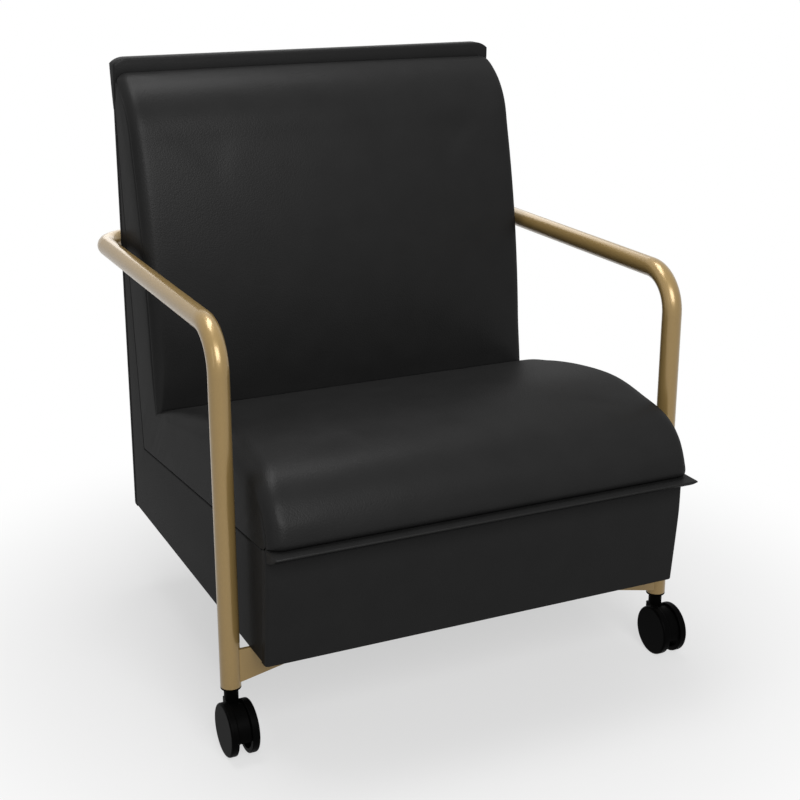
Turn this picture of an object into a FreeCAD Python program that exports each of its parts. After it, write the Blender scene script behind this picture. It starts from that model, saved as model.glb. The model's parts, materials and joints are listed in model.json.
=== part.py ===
"""Lounge chair: upholstered seat and back in a leather shell, on a bent tube frame with front casters.

Millimetres. X runs across (left is -X as seen from the front), the front faces -Y, Z is up from the floor.
The origin is on the floor, under the middle of the chair.
"""
import FreeCAD, Part
import math
import os

Vec = FreeCAD.Vector

# Tube frame: each side is a post, an arm and a rear bend, and a straight bar closes it behind the back
tube_diameter = 28.6
tube_wall = 2.0
bend_radius = 57.0
arm_height = 591.0
arm_gap = 11.2
post_setback = 122.0
bar_gap = 20.0
bar_length = 460.0
sleeve_length = 80.0
sleeve_wall = 2.0
weld_gap = 0.05
slip_gap = 0.05

# Fixing of the rear bar to the back
standoff_spacing = 300.0
standoff_diameter = 24.0
bar_bolt_diameter = 8.0
bar_bolt_head = 14.0
bar_bolt_head_height = 5.0
bar_bolt_reach = 9.0
rivet_nut_wall = 1.5
rivet_nut_length = 14.0
rivet_nut_stand = 5.0

# Outer shell of the body
body_width = 639.0
body_depth = 645.0
body_bottom = 147.0
body_top = 877.2
back_lean = 14.4
apron_lean = 12.5
apron_knee_height = 262.0
apron_cover_thickness = 3.0
side_cover_thickness = 2.0
back_cover_thickness = 2.0
dust_cover_thickness = 1.5

# Seam between the shell and the cushions, in the side view
seam_front_height = 316.0
seam_corner_height = 269.0
shell_depth = 79.0
shell_edge = 11.5

# Flared lips of the shell
front_lip_reach = 36.0
front_lip_root = 19.0
front_lip_rise = 5.0
front_lip_tip = 3.0
front_lip_hollow = 2.0
top_lip_height = 77.2
top_lip_depth = 27.5
top_lip_flare = 11.0
top_lip_bulge = 1.5
top_lip_step = 57.0
top_lip_edge = 4.0
top_lip_corner_width = 22.0
top_lip_corner_drop = 9.0

# Cushions: each side outline is a few arcs, given by their ends and by how far they bow out
seat_crest_height = 427.5
seat_crest_setback = 165.0
seat_brow_drop = 12.5
seat_brow_setback = 77.0
seat_top_bow = 12.0
seat_brow_bow = 2.5
seat_nose_bow = 26.5
seat_crown = 4.0
seat_side_round = 36.0
seat_front_pinch = 8.0
seat_overhang = 15.0
crease_depth = 91.0
crease_rise = 90.0
crease_sink = 9.0
back_face_bow = 13.0
back_roll_bow = 18.0
back_shoulder_drop = 97.0
back_shoulder_depth = 84.5
back_crown = 6.0
back_side_round = 14.0
back_top_sink = 4.5
cushion_cover_thickness = 2.0
foam_gap = 0.4
cushion_gap = 0.3

# Wooden frame and webbing
board_thickness = 18.0
back_board_thickness = 9.0
back_post_height = 700.0
rear_rail_thickness = 22.0
rear_rail_height = 90.0
seat_rail_thickness = 30.0
seat_rail_height = 70.0
block_height = 40.0
front_block_width = 160.0
front_block_overhang = 30.0
rear_block_width = 90.0
strap_thickness = 2.0
strap_inset = 6.0
seat_strap_width = 50.0
lengthwise_straps = 6
crosswise_straps = 5
back_strap_width = 60.0
back_straps = 4

# Front cross rail between the posts: an upright plate with a flange under the body
rail_plate = 5.0
rail_offset = 10.0
rail_end_height = 51.2
rail_middle_height = 27.0
rail_taper = 115.0
rail_flange = 30.0
rail_flange_inset = 20.0
rail_bolt_diameter = 8.0
rail_bolt_head = 13.0
rail_bolt_head_height = 5.3
rail_bolt_reach = 30.0
rail_bolt_spacing = 100.0
rail_bolts_each_side = 2
bolt_hole_gap = 0.25

# Rear legs
leg_spacing = 400.0
leg_inset = 78.0
leg_plate = 70.0
leg_plate_thickness = 3.0
leg_screw_spacing = 50.0
leg_screw_diameter = 5.0
leg_screw_head = 9.0
leg_screw_head_height = 3.0
leg_screw_length = 26.0
glide_diameter = 32.0
glide_thickness = 6.0
glide_plug = 20.0

# Twin-wheel casters
wheel_diameter = 75.0
wheel_width = 11.0
wheel_outer_round = 3.0
wheel_inner_round = 1.2
wheel_rim = 6.5
wheel_disc = 4.0
wheel_hub = 18.0
wheel_gap = 0.4
axle_diameter = 8.0
axle_gap = 0.05
axle_end_wall = 2.4
hood_width = 18.0
hood_drop = 3.5
hood_floor = 6.5
hood_edge = 1.2
caster_trail = 21.4
neck_diameter = 20.0
neck_height = 15.2
neck_gap = 3.2
stem_diameter = 11.0
stem_grip = 22.0
stem_seat = 18.0
washer_diameter = 18.6
washer_thickness = 1.2
swivel_gap = 0.08
collar_height = 3.4
collar_round = 1.2
socket_length = 42.0

# Places that follow from those sizes
tube_radius = tube_diameter / 2
tube_bore = tube_radius - tube_wall
half_width = body_width / 2
post_x = half_width + arm_gap + tube_radius
lip_base = body_top - top_lip_height
lean_at_arm = back_lean * (arm_height - body_bottom) / (lip_base - body_bottom)
overall_depth = front_lip_reach + body_depth - lean_at_arm + bar_gap + tube_diameter
tip_y = -overall_depth / 2
apron_y = tip_y + front_lip_reach
rear_y = apron_y + body_depth
post_y = tip_y + post_setback
bar_y = overall_depth / 2 - tube_radius
frame_bottom = body_bottom + dust_cover_thickness
wood_half = half_width - side_cover_thickness
inner_half = wood_half - board_thickness
strap_half = wood_half - strap_inset
wheel_radius = wheel_diameter / 2
neck_bottom = wheel_radius + math.sqrt(wheel_radius ** 2 - caster_trail ** 2) + neck_gap
neck_top = neck_bottom + neck_height
collar_bottom = neck_top + washer_thickness + swivel_gap
post_foot = collar_bottom + collar_height
axle_y = post_y - caster_trail
leg_x = leg_spacing / 2


def rear_face(z):
    """Y of the outer back at height z, below the top lip."""
    return rear_y - back_lean * (z - body_bottom) / (lip_base - body_bottom)


def board_front(z):
    """Y of the front of the back board at height z."""
    return rear_face(z) - back_cover_thickness - back_board_thickness


def apron_face(z):
    """Y of the apron's outer face at height z."""
    below = max(0.0, apron_knee_height - z)
    return apron_y + apron_lean * below / (apron_knee_height - body_bottom)


corner_y = rear_face(seam_corner_height) - shell_depth
seam_top_y = rear_face(lip_base) - shell_edge


def seat_seam(y):
    """Height of the seam under the seat cushion at y."""
    return seam_front_height + (seam_corner_height - seam_front_height) * (y - apron_y) / (corner_y - apron_y)


def back_seam(z):
    """Y of the seam behind the back cushion at height z."""
    return corner_y + (seam_top_y - corner_y) * (z - seam_corner_height) / (lip_base - seam_corner_height)


def save(name, *shapes):
    """Writes one node, a single solid or a group of separate ones."""
    shape = shapes[0] if len(shapes) == 1 else Part.Compound(list(shapes))
    shape.exportStep("parts/" + name + ".step")


def mirrored(shape):
    """The same piece on the other side of the chair."""
    return shape.mirror(Vec(0, 0, 0), Vec(1, 0, 0))


def prism(points, x_from, x_to):
    """Solid with a straight-edged outline of (y, z) points, running across from x_from to x_to."""
    corners = [Vec(x_from, y, z) for y, z in points]
    return Part.Face(Part.makePolygon(corners + corners[:1])).extrude(Vec(x_to - x_from, 0, 0))


def side_line(x, start, end):
    """Straight edge between two (y, z) points in the plane at x."""
    return Part.makeLine(Vec(x, *start), Vec(x, *end))


def side_arc(x, start, middle, end):
    """Round edge through three (y, z) points in the plane at x."""
    return Part.Arc(Vec(x, *start), Vec(x, *middle), Vec(x, *end)).toShape()


def box(x_from, x_to, y_from, y_to, z_from, z_to):
    """Block between two corners."""
    return Part.makeBox(x_to - x_from, y_to - y_from, z_to - z_from, Vec(x_from, y_from, z_from))


def rod(radius, start, end):
    """Round bar between two points."""
    along = end.sub(start)
    return Part.makeCylinder(radius, along.Length, start, along)


def tube_run(start, end):
    """Straight stretch of frame tube."""
    return rod(tube_radius, start, end).cut(rod(tube_bore, start, end))


def bent_rod(radius, start, direction, centre, axis):
    """Quarter-turn round bar, from a start point about a centre."""
    disc = Part.Face(Part.Wire(Part.makeCircle(radius, start, direction)))
    return disc.revolve(centre, axis, 90)


def arm_rod(radius):
    """Left side of the tube frame, as a solid round bar: post, front bend, arm, rear bend and rear stub."""
    up, back, across = Vec(0, 0, 1), Vec(0, 1, 0), Vec(1, 0, 0)
    foot = Vec(-post_x, post_y, post_foot)
    post_end = Vec(-post_x, post_y, arm_height - bend_radius)
    arm_start = Vec(-post_x, post_y + bend_radius, arm_height)
    arm_end = Vec(-post_x, bar_y - bend_radius, arm_height)
    stub_start = Vec(-post_x + bend_radius, bar_y, arm_height)
    stub_end = Vec(-bar_length / 2, bar_y, arm_height)
    front_centre = post_end.add(back * bend_radius)
    rear_centre = arm_end.add(across * bend_radius)
    post = rod(radius, foot, post_end)
    return post.fuse([
        bent_rod(radius, post_end, up, front_centre, across * -1),
        rod(radius, arm_start, arm_end),
        bent_rod(radius, arm_end, back, rear_centre, up * -1),
        rod(radius, stub_start, stub_end),
    ])


def arm_tube():
    """Left side of the tube frame, hollow from end to end."""
    return arm_rod(tube_radius).cut(arm_rod(tube_bore))


def bar_sleeve():
    """Tube inside the joint of the left arm tube and the rear bar."""
    start = Vec(-bar_length / 2 - sleeve_length / 2, bar_y, arm_height)
    end = Vec(-bar_length / 2 + sleeve_length / 2, bar_y, arm_height)
    outer = rod(tube_bore - slip_gap, start, end)
    return outer.cut(rod(tube_bore - slip_gap - sleeve_wall, start, end))


standoff_x = standoff_spacing / 2
rivet_nut_radius = bar_bolt_diameter / 2 + slip_gap + rivet_nut_wall


def bar_fixing_axis(y_from, y_to):
    """Two points on the left fixing's axis, which runs front to back through the rear bar."""
    return Vec(-standoff_x, y_from, arm_height), Vec(-standoff_x, y_to, arm_height)


def rear_bar():
    """Straight bar behind the back, with holes for the rivet nuts in its front wall."""
    bar = tube_run(Vec(-bar_length / 2, bar_y, arm_height), Vec(bar_length / 2, bar_y, arm_height))
    hole = rod(rivet_nut_radius + slip_gap, *bar_fixing_axis(bar_y - tube_diameter, bar_y))
    return bar.cut([hole, mirrored(hole)])


def bar_standoff():
    """Left spacer between the outer back and the rear bar, shaped to both."""
    core = rod(standoff_diameter / 2, *bar_fixing_axis(rear_y - shell_depth, bar_y))
    bar = rod(tube_radius + weld_gap, Vec(-half_width, bar_y, arm_height), Vec(0, bar_y, arm_height))
    bore = rod(rivet_nut_radius + slip_gap, *bar_fixing_axis(rear_y - shell_depth, bar_y))
    shell = [
        (rear_y - 2 * shell_depth, body_bottom),
        (rear_face(body_bottom), body_bottom),
        (rear_face(lip_base), lip_base),
        (rear_y - 2 * shell_depth, lip_base),
    ]
    return core.cut([bar, bore, prism(shell, -half_width, 0)])


def bar_bolt():
    """Left bolt through the back board into the rear bar."""
    seat = board_front(arm_height + bar_bolt_head / 2)
    head = rod(bar_bolt_head / 2, *bar_fixing_axis(seat - bar_bolt_head_height, seat))
    tip = bar_y - tube_radius + bar_bolt_reach
    return head.fuse(rod(bar_bolt_diameter / 2, *bar_fixing_axis(seat, tip)))


def bar_rivet_nut():
    """Left threaded sleeve in the front wall of the rear bar."""
    start = bar_y - tube_radius - rivet_nut_stand
    axis = bar_fixing_axis(start, start + rivet_nut_length)
    return rod(rivet_nut_radius, *axis).cut(rod(bar_bolt_diameter / 2 + slip_gap, *axis))


def bar_bolt_hole():
    """Space for the left bolt through the board and the outer back."""
    axis = bar_fixing_axis(board_front(arm_height) - shell_depth, bar_y)
    return rod(bar_bolt_diameter / 2 + bolt_hole_gap, *axis)


rail_front = post_y - rail_offset
rail_bolt_y = rail_front + (rail_plate + rail_flange) / 2
flange_bottom = body_bottom - rail_plate


def rail_upright():
    """Upright plate of the cross rail, deep at the posts and slim under the body."""
    low_end = body_bottom - rail_end_height
    low_middle = body_bottom - rail_middle_height
    right = [(post_x, body_bottom), (post_x, low_end), (post_x - rail_taper, low_middle)]
    points = right + [(-x, z) for x, z in reversed(right)]
    corners = [Vec(x, rail_front, z) for x, z in points]
    return Part.Face(Part.makePolygon(corners + corners[:1])).extrude(Vec(0, rail_plate, 0))


rail_bolt_places = [
    side * (i + 0.5) * rail_bolt_spacing for side in (-1, 1) for i in range(rail_bolts_each_side)
]


def rail_bolt(x, gap=0.0):
    """One bolt up through the cross rail's flange, or with a gap the space that it needs."""
    start = Vec(x, rail_bolt_y, flange_bottom)
    shank = rod(rail_bolt_diameter / 2 + gap, start, Vec(x, rail_bolt_y, frame_bottom + rail_bolt_reach))
    head = rod(rail_bolt_head / 2, Vec(x, rail_bolt_y, flange_bottom - rail_bolt_head_height), start)
    return shank if gap else shank.fuse(head)


rail_bolt_holes = [rail_bolt(x, bolt_hole_gap) for x in rail_bolt_places]


def cross_rail():
    """Angle rail between the posts, coped to both, with its flange drilled for the bolts."""
    flange_half = half_width - rail_flange_inset
    flange = box(-flange_half, flange_half, rail_front, rail_front + rail_flange, flange_bottom, body_bottom)
    post = rod(tube_radius + weld_gap, Vec(-post_x, post_y, 0), Vec(-post_x, post_y, arm_height))
    return rail_upright().fuse(flange).cut([post, mirrored(post)] + rail_bolt_holes)


def apron_line(offset):
    """The apron's leaning face, moved back by an offset, from the bottom up to the seam."""
    top_y = apron_y + offset
    return [
        (apron_face(body_bottom) + offset, body_bottom),
        (top_y, apron_knee_height),
        (top_y, seat_seam(top_y)),
    ]


def apron_cover():
    """Leather front of the shell, over the full width."""
    return prism(apron_line(0.0) + apron_line(apron_cover_thickness)[::-1], -half_width, half_width)


def side_cover():
    """Left leather side of the shell: one panel along the seat and up the back."""
    outline = apron_line(apron_cover_thickness) + [
        (corner_y, seam_corner_height),
        (seam_top_y, lip_base),
        (rear_face(lip_base) - back_cover_thickness, lip_base),
        (rear_face(body_bottom) - back_cover_thickness, body_bottom),
    ]
    return prism(outline, -half_width, -wood_half)


def leaning_panel(front, thickness, z_from, z_to, half):
    """Panel that leans with the back: front gives its front face at a height."""
    outline = [
        (front(z_from), z_from),
        (front(z_from) + thickness, z_from),
        (front(z_to) + thickness, z_to),
        (front(z_to), z_to),
    ]
    return prism(outline, -half, half)


bar_bolt_holes = [bar_bolt_hole(), mirrored(bar_bolt_hole())]


def back_cover():
    """Leather outside of the back."""
    def inside(z):
        return rear_face(z) - back_cover_thickness

    panel = leaning_panel(inside, back_cover_thickness, body_bottom, lip_base, half_width)
    return panel.cut(bar_bolt_holes)


def back_board():
    """Plywood panel behind the back, which carries the rear bar and the top lip."""
    panel = leaning_panel(board_front, back_board_thickness, frame_bottom, lip_base, wood_half)
    return panel.cut(bar_bolt_holes)


def front_lip():
    """Flared lip along the top of the apron: level on top, hollow beneath."""
    top = seam_front_height + front_lip_rise
    tip_radius = front_lip_tip / 2
    root_low = (apron_y, top - front_lip_root)
    tip_low = (tip_y + tip_radius, top - front_lip_tip)
    under = ((root_low[0] + tip_low[0]) / 2, (root_low[1] + tip_low[1]) / 2 + front_lip_hollow)
    x = -half_width
    edges = [
        side_line(x, (apron_y, top), (tip_y + tip_radius, top)),
        side_arc(x, (tip_y + tip_radius, top), (tip_y, top - tip_radius), tip_low),
        side_arc(x, tip_low, under, root_low),
        side_line(x, root_low, (apron_y, top)),
    ]
    return Part.Face(Part.Wire(edges)).extrude(Vec(body_width, 0, 0))


lip_front_y = rear_face(lip_base) + top_lip_flare - top_lip_depth
lip_seat_height = lip_base + top_lip_step


def lip_front_view(front, rear):
    """Block with the front view of the top lip, whose top bends down a little to each side."""
    width, drop = top_lip_corner_width, top_lip_corner_drop
    radius = (width ** 2 + drop ** 2) / (2 * drop)
    half_turn = math.asin(width / radius) / 2
    inner_x = half_width - width
    middle_x = inner_x + radius * math.sin(half_turn)
    middle_z = body_top - radius + radius * math.cos(half_turn)
    low, bend, top = lip_base, body_top - drop, body_top

    def place(x, z):
        return Vec(x, front, z)

    outline = Part.Wire([
        Part.makeLine(place(-half_width, low), place(half_width, low)),
        Part.makeLine(place(half_width, low), place(half_width, bend)),
        Part.Arc(place(half_width, bend), place(middle_x, middle_z), place(inner_x, top)).toShape(),
        Part.makeLine(place(inner_x, top), place(-inner_x, top)),
        Part.Arc(place(-inner_x, top), place(-middle_x, middle_z), place(-half_width, bend)).toShape(),
        Part.makeLine(place(-half_width, bend), place(-half_width, low)),
    ])
    return Part.Face(outline).extrude(Vec(0, rear - front, 0))


def top_lip():
    """Flared lip along the top of the back."""
    rear_top = lip_front_y + top_lip_depth
    foot_rear = (rear_face(lip_base), lip_base)
    shoulder = (rear_top, body_top - top_lip_edge)
    flare = ((foot_rear[0] + shoulder[0]) / 2 + top_lip_bulge, (foot_rear[1] + shoulder[1]) / 2)
    bevel = top_lip_edge * (1 - math.sqrt(0.5))
    x = -half_width
    edges = [
        side_line(x, (seam_top_y, lip_base), (lip_front_y, lip_seat_height)),
        side_line(x, (lip_front_y, lip_seat_height), (lip_front_y, body_top - top_lip_edge)),
        side_arc(x, (lip_front_y, body_top - top_lip_edge), (lip_front_y + bevel, body_top - bevel),
                 (lip_front_y + top_lip_edge, body_top)),
        side_line(x, (lip_front_y + top_lip_edge, body_top), (rear_top - top_lip_edge, body_top)),
        side_arc(x, (rear_top - top_lip_edge, body_top), (rear_top - bevel, body_top - bevel), shoulder),
        side_arc(x, shoulder, flare, foot_rear),
        side_line(x, foot_rear, (seam_top_y, lip_base)),
    ]
    bar = Part.Face(Part.Wire(edges)).extrude(Vec(body_width, 0, 0))
    return bar.common(lip_front_view(lip_front_y - shell_depth, rear_top + shell_depth))


def side_rail():
    """Left side board of the seat frame."""
    outline = apron_line(apron_cover_thickness)[:2]
    start = outline[-1][0]
    outline[0] = (apron_face(frame_bottom) + apron_cover_thickness, frame_bottom)
    outline += [
        (start, seat_seam(start) - strap_thickness),
        (corner_y, seam_corner_height - strap_thickness),
        (corner_y, frame_bottom),
    ]
    return prism(outline, -wood_half, -inner_half)


def back_post():
    """Left upright of the back frame, which tapers upwards."""
    outline = [
        (corner_y, frame_bottom),
        (corner_y, seam_corner_height - strap_thickness),
        (corner_y + strap_thickness, seam_corner_height),
        (back_seam(back_post_height) + strap_thickness, back_post_height),
        (board_front(back_post_height), back_post_height),
        (board_front(frame_bottom), frame_bottom),
    ]
    return prism(outline, -wood_half, -inner_half)


rail_drop = 2 * strap_thickness


def front_rail():
    """Board behind the apron, between the side rails."""
    front = apron_cover_thickness
    back = apron_cover_thickness + board_thickness
    top_front, top_back = apron_y + front, apron_y + back
    outline = [
        (apron_face(frame_bottom) + front, frame_bottom),
        (top_front, apron_knee_height),
        (top_front, seat_seam(top_front) - rail_drop),
        (top_back, seat_seam(top_back) - rail_drop),
        (top_back, apron_knee_height),
        (apron_face(frame_bottom) + back, frame_bottom),
    ]
    return prism(outline, -inner_half, inner_half)


def seat_rail():
    """Cross rail under the rear of the seat."""
    front = corner_y - seat_rail_thickness
    low = seam_corner_height - rail_drop - seat_rail_height
    outline = [
        (front, low),
        (front, seat_seam(front) - rail_drop),
        (corner_y, seam_corner_height - rail_drop),
        (corner_y, low),
    ]
    return prism(outline, -inner_half, inner_half)


def rear_rail_front(z):
    """Y of the front of the rear bottom rail at height z."""
    return board_front(z) - rear_rail_thickness


def rear_rail():
    """Bottom rail in front of the back board."""
    top = frame_bottom + rear_rail_height
    return leaning_panel(rear_rail_front, rear_rail_thickness, frame_bottom, top, inner_half)


leg_y = rear_rail_front(frame_bottom) - leg_inset + leg_plate / 2


def leg_screw(x, y, gap=0.0):
    """One screw up through a leg plate, or with a gap the space that it needs."""
    under = body_bottom - leg_plate_thickness
    start = Vec(x, y, under)
    shank = rod(leg_screw_diameter / 2 + gap, start, Vec(x, y, under + leg_screw_length))
    head = rod(leg_screw_head / 2, Vec(x, y, under - leg_screw_head_height), start)
    return shank if gap else shank.fuse(head)


leg_screw_places = [
    (side * leg_x + dx * leg_screw_spacing / 2, leg_y + dy * leg_screw_spacing / 2)
    for side in (-1, 1) for dx in (-1, 1) for dy in (-1, 1)
]
leg_screw_holes = [leg_screw(x, y, bolt_hole_gap) for x, y in leg_screw_places]


def front_block():
    """Left hardwood block behind the front rail, for the cross rail's bolts."""
    back = apron_cover_thickness + board_thickness
    top = frame_bottom + block_height
    end = post_y + front_block_overhang
    outline = [
        (apron_face(frame_bottom) + back, frame_bottom),
        (apron_face(top) + back, top),
        (end, top),
        (end, frame_bottom),
    ]
    middle = -rail_bolt_spacing * rail_bolts_each_side / 2
    block = prism(outline, middle - front_block_width / 2, middle + front_block_width / 2)
    return block.cut(rail_bolt_holes)


def rear_block():
    """Left hardwood block in front of the rear rail, for the leg's screws."""
    top = frame_bottom + block_height
    start = leg_y - leg_plate / 2
    outline = [
        (start, frame_bottom),
        (rear_rail_front(frame_bottom), frame_bottom),
        (rear_rail_front(top), top),
        (start, top),
    ]
    block = prism(outline, -leg_x - rear_block_width / 2, -leg_x + rear_block_width / 2)
    return block.cut(leg_screw_holes)


def dust_cover():
    """Thin cloth under the body."""
    start = apron_face(body_bottom) + apron_cover_thickness
    end = rear_face(body_bottom) - back_cover_thickness
    outline = [
        (start, body_bottom),
        (apron_face(frame_bottom) + apron_cover_thickness, frame_bottom),
        (rear_face(frame_bottom) - back_cover_thickness, frame_bottom),
        (end, body_bottom),
    ]
    return prism(outline, -wood_half, wood_half).cut(rail_bolt_holes + leg_screw_holes)


def spread(count, low, high):
    """Evenly spaced middles of a number of straps between two limits."""
    step = (high - low) / count
    return [low + step * (i + 0.5) for i in range(count)]


def lengthwise_strap(x):
    """Seat strap from the front rail to the seat cross rail."""
    start = apron_y + apron_cover_thickness
    outline = [
        (start, seat_seam(start) - rail_drop),
        (corner_y, seam_corner_height - rail_drop),
        (corner_y, seam_corner_height - strap_thickness),
        (start, seat_seam(start) - strap_thickness),
    ]
    return prism(outline, x - seat_strap_width / 2, x + seat_strap_width / 2)


def crosswise_strap(y):
    """Seat strap from side rail to side rail, over the lengthwise ones."""
    start, end = y - seat_strap_width / 2, y + seat_strap_width / 2
    outline = [
        (start, seat_seam(start) - strap_thickness),
        (end, seat_seam(end) - strap_thickness),
        (end, seat_seam(end)),
        (start, seat_seam(start)),
    ]
    return prism(outline, -strap_half, strap_half)


def back_strap(z):
    """Back strap from post to post."""
    low, high = z - back_strap_width / 2, z + back_strap_width / 2
    outline = [
        (back_seam(low), low),
        (back_seam(low) + strap_thickness, low),
        (back_seam(high) + strap_thickness, high),
        (back_seam(high), high),
    ]
    return prism(outline, -strap_half, strap_half)


def towards(start, end, distance):
    """The (y, z) point that lies a distance from start on the way to end."""
    length = math.dist(start, end)
    return tuple(a + (b - a) * distance / length for a, b in zip(start, end))


crease = (corner_y - crease_depth, seam_corner_height + crease_rise)


def bowed(x, start, end, bow):
    """Arc between two (y, z) points in the plane at x, which bows out to the left of the way to the end."""
    along = (end[0] - start[0], end[1] - start[1])
    length = math.hypot(*along)
    middle = ((start[0] + end[0] - 2 * bow * along[1] / length) / 2,
              (start[1] + end[1] + 2 * bow * along[0] / length) / 2)
    return side_arc(x, start, middle, end)


def moved_in(points, distance):
    """Corners of an outline, each moved inwards by a distance; the inside lies to the right of the way."""
    normals = []
    for start, end in zip(points, points[1:] + points[:1]):
        length = math.dist(start, end)
        normals.append(((end[1] - start[1]) / length, (start[0] - end[0]) / length))
    moved = []
    for i, (y, z) in enumerate(points):
        before, after = normals[i - 1], normals[i]
        reach = distance / (1 + before[0] * after[0] + before[1] * after[1])
        moved.append((y + reach * (before[0] + after[0]), z + reach * (before[1] + after[1])))
    return moved


def side_outline(x, corners, inset):
    """Closed outline in the plane at x: each corner comes with the bow of the side that starts there."""
    points = moved_in([point for point, bow in corners], inset)
    edges = []
    for (_, bow), start, end in zip(corners, points, points[1:] + points[:1]):
        edges.append(bowed(x, start, end, bow) if bow else side_line(x, start, end))
    return Part.Wire(edges)


def seat_section(drop, rise):
    """Side outline of the seat cushion: its top is lower by drop at the sides, higher by rise inside."""
    share = drop / seat_side_round
    lip_top = seam_front_height + front_lip_rise + cushion_gap
    toe = (apron_y - seat_overhang + seat_front_pinch * share, lip_top)
    behind_lip = apron_y + cushion_gap
    step = (behind_lip, lip_top)
    root = (behind_lip, seat_seam(behind_lip) + cushion_gap)
    crest = (apron_y + seat_crest_setback, seat_crest_height - drop + rise)
    brow = (apron_y + seat_brow_setback, crest[1] - seat_brow_drop)
    heel = (corner_y, seam_corner_height + cushion_gap)
    rear = towards(crease, heel, crease_sink * share)
    return [
        (toe, seat_nose_bow),
        (brow, seat_brow_bow),
        (crest, seat_top_bow),
        (rear, 0.0),
        (heel, 0.0),
        (root, 0.0),
        (step, 0.0),
    ]


def back_section(drop, rise):
    """Side outline of the back cushion: its face lies further back by drop near the sides."""
    share = drop / back_side_round
    crease_above = (crease[0], crease[1] + cushion_gap)
    heel = (corner_y - cushion_gap, seam_corner_height + 3 * cushion_gap)
    foot = towards(crease_above, heel, crease_sink * share)
    bend = (seam_top_y - cushion_gap, lip_base)
    rear_top = (lip_front_y - cushion_gap, lip_seat_height - back_top_sink * share)
    shoulder = (lip_front_y - back_shoulder_depth + drop - rise, lip_seat_height - back_shoulder_drop)
    return [
        (foot, back_face_bow),
        (shoulder, back_roll_bow),
        (rear_top, 0.0),
        (bend, 0.0),
        (heel, 0.0),
    ]


def stations(side_round, crown):
    """Places across a cushion, with how far its outline drops at the rounded sides and rises inside."""
    places = []
    for turn in (90, 60, 30, 0):
        angle = math.radians(turn)
        x = half_width - side_round + side_round * math.sin(angle)
        places.append((x, side_round - side_round * math.cos(angle), 0.0))
    inner_x = half_width / 2
    places.append((inner_x, 0.0, crown * (1 - (inner_x / half_width) ** 2)))
    left = [(-x, drop, rise) for x, drop, rise in places]
    return left + [(0.0, 0.0, crown)] + places[::-1]


def cushion(section, side_round, crown, inset):
    """Crowned cushion with rounded sides, or with an inset the space inside its cover."""
    wires = []
    for x, drop, rise in stations(side_round, crown):
        wires.append(side_outline(x * (1 - inset / half_width), section(drop, rise), inset))
    return Part.makeLoft(wires, True)


def save_cushion(name, section, side_round, crown):
    """Writes a cushion's leather cover and the foam inside it."""
    inside = cushion(section, side_round, crown, cushion_cover_thickness)
    save(name + "_cover", cushion(section, side_round, crown, 0.0).cut(inside))
    save(name + "_foam", cushion(section, side_round, crown, cushion_cover_thickness + foam_gap))


def rear_leg():
    """Left rear leg, a short tube under its plate."""
    top = Vec(-leg_x, leg_y, body_bottom - leg_plate_thickness)
    return tube_run(Vec(-leg_x, leg_y, glide_thickness), top)


def leg_top_plate():
    """Left leg's plate, with its screw holes."""
    half = leg_plate / 2
    low = body_bottom - leg_plate_thickness
    plate = box(-leg_x - half, -leg_x + half, leg_y - half, leg_y + half, low, body_bottom)
    return plate.cut(leg_screw_holes)


def glide():
    """Left leg's glide, a disc with a plug in the tube."""
    middle = Vec(-leg_x, leg_y, glide_thickness)
    disc = rod(glide_diameter / 2, Vec(-leg_x, leg_y, 0), middle)
    return disc.fuse(rod(tube_bore - slip_gap, middle, Vec(-leg_x, leg_y, glide_thickness + glide_plug)))


def swivel_axis(z_from, z_to):
    """Two points on the left caster's swivel axis, which is the axis of the post."""
    return Vec(-post_x, post_y, z_from), Vec(-post_x, post_y, z_to)


def wheel_axis(x_from, x_to):
    """Two points on the left caster's axle, measured from the middle of the caster."""
    return Vec(-post_x + x_from, axle_y, wheel_radius), Vec(-post_x + x_to, axle_y, wheel_radius)


stem_top = collar_bottom + stem_grip


def caster_socket():
    """Plug in the foot of the left post, with a collar below it and a bore for the stem."""
    plug = rod(tube_bore - slip_gap, *swivel_axis(post_foot, post_foot + socket_length))
    collar = rod(tube_radius, *swivel_axis(collar_bottom, post_foot))
    rims = [e for e in collar.Edges if e.BoundBox.XLength > tube_radius]
    low_edges = [e for e in rims if e.BoundBox.ZMax < collar_bottom + collar_height / 2]
    bore = rod(stem_diameter / 2 + swivel_gap, *swivel_axis(collar_bottom, stem_top + swivel_gap))
    return collar.makeFillet(collar_round, low_edges).fuse(plug).cut(bore)


def caster_stem():
    """Left caster's steel stem, fast in the hood and free to turn in the socket."""
    return rod(stem_diameter / 2, *swivel_axis(neck_top - stem_seat, stem_top))


def caster_washer():
    """Thrust washer between the hood's neck and the socket's collar."""
    axis = swivel_axis(neck_top, neck_top + washer_thickness)
    return rod(washer_diameter / 2, *axis).cut(rod(stem_diameter / 2 + slip_gap, *axis))


def caster_hood():
    """Left caster's hood between the wheels, with the neck that takes the stem."""
    half = hood_width / 2
    disc = rod(wheel_radius - hood_drop, *wheel_axis(-half, half))
    left, right = -post_x - half, -post_x + half
    below = box(left, right, axle_y - wheel_radius, axle_y + wheel_radius, 0, wheel_radius - hood_floor)
    neck_half = neck_diameter / 2
    column = box(left, right, post_y - neck_half, post_y + neck_half, wheel_radius, neck_bottom)
    neck = rod(neck_half, *swivel_axis(neck_bottom, neck_top))
    rim = [e for e in disc.Edges if e.BoundBox.XLength < 1 and e.BoundBox.ZLength > wheel_radius]
    body = disc.makeFillet(hood_edge, rim).cut(below).fuse([column, neck])
    axle_hole = rod(axle_diameter / 2 + slip_gap, *wheel_axis(-half, half))
    stem_hole = rod(stem_diameter / 2 + slip_gap, *swivel_axis(neck_top - stem_seat, neck_top))
    return body.cut([axle_hole, stem_hole])


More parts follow.
